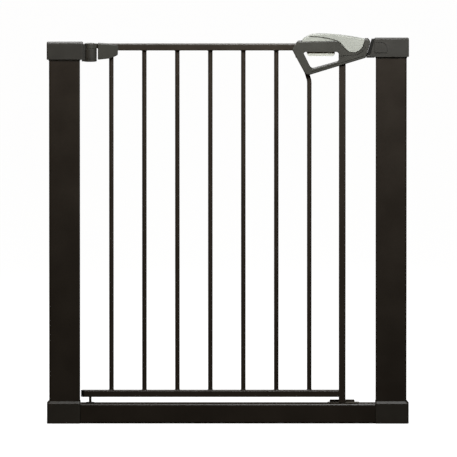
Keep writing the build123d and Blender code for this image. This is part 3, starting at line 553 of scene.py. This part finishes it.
class GATE_OT_lever(bpy.types.Operator):
    """Models the grey thumb lever: a hollow hump under a soft visor that rolls over into the handle"""
    bl_idname = "gate.lever"
    bl_label = "Thumb lever"

    def execute(self, context):
        sizes = context.scene.gate_handle
        half = sizes.lever_width / 2
        inner = half - sizes.wall
        lever = drawn("thumb_lever_cover", at_handle(lever_skin()), -half, half)
        soften(lever, sizes.lever_round, 5, 50)
        hump = drawn("hump", at_handle(lever_hump()), -inner, inner)
        soften(hump, sizes.lever_round, 4, 50)
        combine(lever, [hump], "UNION")
        throat = [(-76.4, 9.0), (-76.4, 0.0), (3.0, 0.0), (3.0, -14.0), (39.0, -14.0), (39.0, 12.0),
                  (10.0, 18.5), (-24.4, 22.6), (-57.0, 22.6), (-64.0, 19.4), (-76.4, 11.8)]
        room = drawn("room", at_handle(throat), -inner + sizes.wall, inner - sizes.wall)
        combine(lever, [room], "DIFFERENCE")
        shade(lever)
        dress(lever, "thumb_lever", "grey_plastic", palette()["lever_abs_grey"], "thumb_lever")
        return {"FINISHED"}


# ---- screws ----
HEADS_UP = ["catch_screws"]
CROWN = 0.0004                 # a screw head's flat rim, above its cone
TIP = 0.0012                   # the pointed end of its shank
TIP_RATIO = 0.15
RECESS_TAPER = 0.6
MERGE_WITHIN = 0.00001          # points of a screw closer than this are one
SCREW_GROUPS = {
    "catch_screws": "frame", "frame_screws": "frame", "bracket_screws": "panel", "handle_screws": "panel",
}


class GATE_OT_screws(bpy.types.Operator):
    """Models each countersunk screw with a shallow crowned head and a cross recess"""
    bl_idname = "gate.screws"
    bl_label = "Screws"

    def screw_like(self, part, upward):
        """One turned screw in the place of a plain one: cone, crown, shank and recess."""
        sizes = bpy.context.scene.gate_screws
        low = Vector([min(v.co[k] for v in part.data.vertices) for k in range(3)])
        high = Vector([max(v.co[k] for v in part.data.vertices) for k in range(3)])
        length = (high - low)[2 if upward else 1]
        bpy.ops.object.select_all(action="DESELECT")
        bpy.ops.mesh.primitive_cylinder_add(
            vertices=40, radius=sizes.head, depth=CROWN, location=(0, 0, -CROWN / 2))
        made = bpy.context.object
        bpy.ops.object.mode_set(mode="EDIT")
        mesh = bmesh.from_edit_mesh(made.data)
        for face in mesh.faces:
            face.select = face.normal.z < -0.5
        bmesh.update_edit_mesh(made.data)
        ratio = sizes.shank / sizes.head
        bpy.ops.mesh.extrude_region_move(TRANSFORM_OT_translate={"value": (0, 0, -sizes.cone + CROWN)})
        bpy.ops.transform.resize(value=(ratio, ratio, 1))
        bpy.ops.mesh.extrude_region_move(TRANSFORM_OT_translate={"value": (0, 0, sizes.cone - length + TIP)})
        bpy.ops.mesh.extrude_region_move(TRANSFORM_OT_translate={"value": (0, 0, -TIP)})
        bpy.ops.transform.resize(value=(TIP_RATIO, TIP_RATIO, 1))
        bpy.ops.object.mode_set(mode="OBJECT")
        wide, thin, deep = sizes.recess, sizes.recess_wall, sizes.recess_depth
        slots = []
        for x, y in ((wide, thin), (thin, wide)):
            bpy.ops.object.select_all(action="DESELECT")
            bpy.ops.mesh.primitive_cube_add(size=1, location=(0, 0, 0), scale=(2 * x, 2 * y, 2 * deep))
            bpy.ops.object.mode_set(mode="EDIT")
            mesh = bmesh.from_edit_mesh(bpy.context.object.data)
            for face in mesh.faces:
                face.select = face.normal.z < -0.5
            bmesh.update_edit_mesh(bpy.context.object.data)
            bpy.ops.transform.resize(value=(RECESS_TAPER, RECESS_TAPER, 1))
            bpy.ops.object.mode_set(mode="OBJECT")
            slots.append(settle(bpy.context.object, "slot"))
        combine(made, slots, "DIFFERENCE")
        centre = (low + high) / 2
        made.location = (centre.x, centre.y, high.z) if upward else (centre.x, high.y, centre.z)
        if not upward:
            made.rotation_euler = (-math.pi / 2, 0, 0)
        return settle(made, "screw")

    def execute(self, context):
        for node, body in SCREW_GROUPS.items():
            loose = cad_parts[node].copy()
            loose.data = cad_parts[node].data.copy()
            context.collection.objects.link(loose)
            alone(loose)
            bpy.ops.object.mode_set(mode="EDIT")
            bpy.ops.mesh.select_all(action="SELECT")
            bpy.ops.mesh.remove_doubles(threshold=MERGE_WITHIN)
            bpy.ops.mesh.separate(type="LOOSE")
            bpy.ops.object.mode_set(mode="OBJECT")
            plain = list(context.selected_objects)
            plain.sort(key=lambda part: tuple(round(c, 4) for c in part.data.vertices[0].co))
            made = [self.screw_like(part, node in HEADS_UP) for part in plain]
            for part in plain:
                bpy.data.objects.remove(part)
            turned = shade(joined(made, node + "_turned"), 30)
            dress(turned, body, "plain_steel", palette()["screw_zinc"], node)
        return {"FINISHED"}


# ---- welds ----
GAPS = 6                       # between the six straight bars and the bent one
BEAD_OUT = 0.0004              # from a bar's side to the middle of its bead
COLLAR_START = 0.0082          # the collar's ends, from the stile's middle
COLLAR_END = 0.0060
COLLAR_HALF_DEPTH = 0.0104
COLLAR_HALF_HEIGHT = 0.0059
def weld_ring(sizes, centre, radius, seed):
    """A bead of weld round a bar, slightly uneven as a hand-run one is."""
    bpy.ops.object.select_all(action="DESELECT")
    bpy.ops.mesh.primitive_torus_add(
        location=centre, major_radius=radius, minor_radius=sizes.bead,
        major_segments=sizes.steps, minor_segments=8)
    bead = bpy.context.object
    bpy.ops.object.mode_set(mode="EDIT")
    bpy.ops.transform.vertex_random(offset=sizes.ripple, seed=seed)
    bpy.ops.object.mode_set(mode="OBJECT")
    return settle(bead, f"bead_{seed}")


def joined(parts, name):
    bpy.ops.object.select_all(action="DESELECT")
    for part in parts:
        part.select_set(True)
    bpy.context.view_layer.objects.active = parts[0]
    bpy.ops.object.join()
    return settle(bpy.context.object, name)


class GATE_OT_welds(bpy.types.Operator):
    """Runs a weld bead where each bar meets its rails and where the bottom rail meets the stile"""
    bl_idname = "gate.welds"
    bl_label = "Weld beads"

    def execute(self, context):
        sizes = context.scene.gate_welds
        low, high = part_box("bars")
        radius = (high.y - low.y) / 2
        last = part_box("bent_bar")[1].x - radius
        first = low.x + radius
        pitch = (last - first) / GAPS
        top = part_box("top_rail")[0].z
        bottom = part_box("bottom_rail")[1].z
        beads = []
        for i in range(GAPS + 1):
            x = first + i * pitch
            beads.append(weld_ring(sizes, (x, 0, bottom), radius + BEAD_OUT, i + 1))
            if 0 < i < GAPS:
                beads.append(weld_ring(sizes, (x, 0, top), radius + BEAD_OUT, i + 11))
        collar = box_between(
            "collar",
            (stile.x - COLLAR_START, -COLLAR_HALF_DEPTH, bottom_rail.z - COLLAR_HALF_HEIGHT),
            (stile.x - COLLAR_END, COLLAR_HALF_DEPTH, bottom_rail.z + COLLAR_HALF_HEIGHT))
        beads.append(soften(collar, 0.0009, 3))
        welds = shade(joined(beads, "weld_beads"), 50)
        dress(welds, "panel", "rail_paint", palette()["coated_rail_steel"])
        return {"FINISHED"}


# ---- studio ----
SENSOR = 36.0                  # the camera's sensor width, in millimetres


class GATE_OT_studio(bpy.types.Operator):
    """Sets the floor, the soft light and the camera"""
    bl_idname = "gate.studio"
    bl_label = "Studio"

    def lamp(self, name, place, target, size, power, colour=(1, 1, 1)):
        bpy.ops.object.select_all(action="DESELECT")
        bpy.ops.object.light_add(type="AREA", location=place)
        made = bpy.context.object
        made.name = name
        made.data.shape = "RECTANGLE"
        made.data.size, made.data.size_y = size
        made.data.energy = power
        made.data.color = colour
        made.rotation_euler = (Vector(target) - Vector(place)).to_track_quat("-Z", "Y").to_euler()
        return made

    def execute(self, context):
        scene = context.scene
        stage = scene.gate_stage
        scene.view_settings.view_transform = "Standard"
        bpy.ops.object.select_all(action="DESELECT")
        bpy.ops.mesh.primitive_plane_add(size=60, location=(0, 0, 0))
        floor = settle(context.object, "studio_floor")
        floor.visible_diffuse = False
        floor.visible_glossy = False
        paper, _, surface, _ = finish_named("studio_paper", Roughness=0.9)
        surface.inputs["Base Color"].default_value = (0.3, 0.3, 0.3, 1)
        surface.inputs["Emission Color"].default_value = (1, 1, 1, 1)
        surface.inputs["Emission Strength"].default_value = 0.92
        floor.data.materials.append(paper)

        world = bpy.data.worlds.new("studio_white")
        scene.world = world
        world.use_nodes = True
        tree = world.node_tree
        tree.nodes.clear()
        rays = add(tree, "ShaderNodeLightPath")
        dim = add(tree, "ShaderNodeBackground", {"Color": (1.0, 0.85, 0.62, 1), "Strength": 0.03})
        white = add(tree, "ShaderNodeBackground", {"Color": (1, 1, 1, 1), "Strength": 1.0})
        mix = add(tree, "ShaderNodeMixShader", links={"Fac": (rays, "Is Camera Ray")})
        tree.links.new(dim.outputs["Background"], mix.inputs[1])
        tree.links.new(white.outputs["Background"], mix.inputs[2])
        add(tree, "ShaderNodeOutputWorld", links={"Surface": (mix, "Shader")})

        self.lamp("key", (0.22, -0.70, 1.35), (0.05, 0, 0.75), (0.6, 0.4), 14.4, (0.98, 1.0, 1.0))
        self.lamp("warm_side", (-1.1, -0.9, 1.2), (-0.3, 0, 0.6), (0.6, 0.6), 2.2, (1.0, 0.78, 0.5))
        self.lamp("rear_fill", (-0.2, 1.5, 1.8), (0, 0, 0.5), (0.9, 0.6), 14.0)
        bpy.ops.object.light_add(type="SUN", location=(0, 0, 3))
        sky = context.object
        sky.name = "overhead"
        sky.data.energy = 0.6
        sky.data.angle = math.radians(40)

        target = Vector((0.0013, 0, 0.381))
        back = Vector((0, -math.cos(stage.tilt), math.sin(stage.tilt)))
        bpy.ops.object.camera_add(location=target + back * stage.distance)
        camera = context.object
        camera.name = "camera"
        camera.rotation_euler = (-back).to_track_quat("-Z", "Y").to_euler()
        camera.data.sensor_width = SENSOR
        camera.data.lens = SENSOR * stage.distance / stage.view_height
        camera.data.clip_start = 0.1
        camera.data.clip_end = 200
        scene.camera = camera
        return {"FINISHED"}


class GATE_PT_panel(bpy.types.Panel):
    bl_idname = "GATE_PT_panel"
    bl_label = "Safety gate"
    bl_space_type = "VIEW_3D"
    bl_region_type = "UI"
    bl_category = "Gate"

    def draw(self, context):
        layout = self.layout
        for group in GROUPS:
            settings = getattr(context.scene, group)
            box = layout.box()
            for key in settings.__annotations__:
                box.prop(settings, key)
        for operator in OPERATORS:
            layout.operator(operator.bl_idname)


GROUPS = {
    "gate_handle": HandleSizes,
    "gate_screws": ScrewSizes,
    "gate_welds": WeldSizes,
    "gate_colours": GateColours,
    "gate_stage": StageSizes,
}
OPERATORS = [GATE_OT_finishes, GATE_OT_handle, GATE_OT_lever, GATE_OT_screws, GATE_OT_welds, GATE_OT_studio]
CLASSES = [*GROUPS.values(), *OPERATORS, GATE_PT_panel]


def register():
    for cls in CLASSES:
        bpy.utils.register_class(cls)
    for name, group in GROUPS.items():
        setattr(bpy.types.Scene, name, PointerProperty(type=group))


def unregister():
    for name in GROUPS:
        delattr(bpy.types.Scene, name)
    for cls in reversed(CLASSES):
        bpy.utils.unregister_class(cls)


def main():
    register()
    for operator in OPERATORS:
        group, name = operator.bl_idname.split(".")
        getattr(getattr(bpy.ops, group), name)()


if __name__ == "__main__":
    main()
